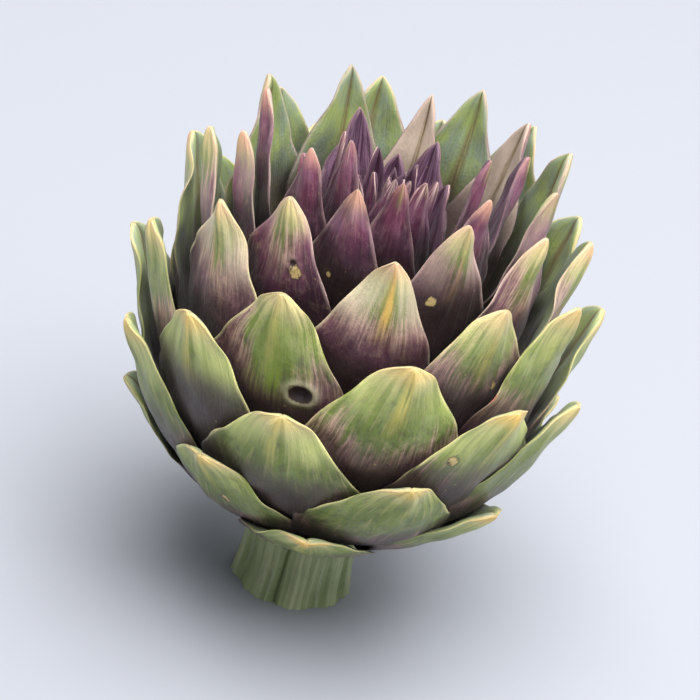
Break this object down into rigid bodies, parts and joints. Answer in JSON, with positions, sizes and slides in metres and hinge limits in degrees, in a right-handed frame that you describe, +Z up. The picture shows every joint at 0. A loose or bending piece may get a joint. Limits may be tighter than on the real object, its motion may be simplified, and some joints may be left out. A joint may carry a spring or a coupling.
{
  "type": "globe artichoke head",
  "caption": "Fresh globe artichoke head with overlapping green and purple bracts around a purple bud, on a short cut stem.",
  "frame": {"origin": "middle of the stem's cut face, on which the head stands", "axes": "+Z up along the stem and the head's axis, -Y towards the pictured side, +X to its right"},
  "size_m": [0.1057, 0.1063, 0.1177],
  "materials": {
    "stem": "fresh pale green fluted stalk with a paler cut face",
    "green_bracts": "waxy grey-green flesh, yellow at the tip, brown-purple low down",
    "purple_green_bracts": "waxy purple flesh with a green and yellow tip and fine lengthwise lines",
    "purple_bracts": "waxy dark purple flesh with a pink flush and a pale rim"
  },
  "bodies": {
    "root": {"stem": "stem", "outer_bracts": "green_bracts", "middle_bracts": "purple_green_bracts", "heart_bracts": "purple_bracts"}
  },
  "joints": []
}
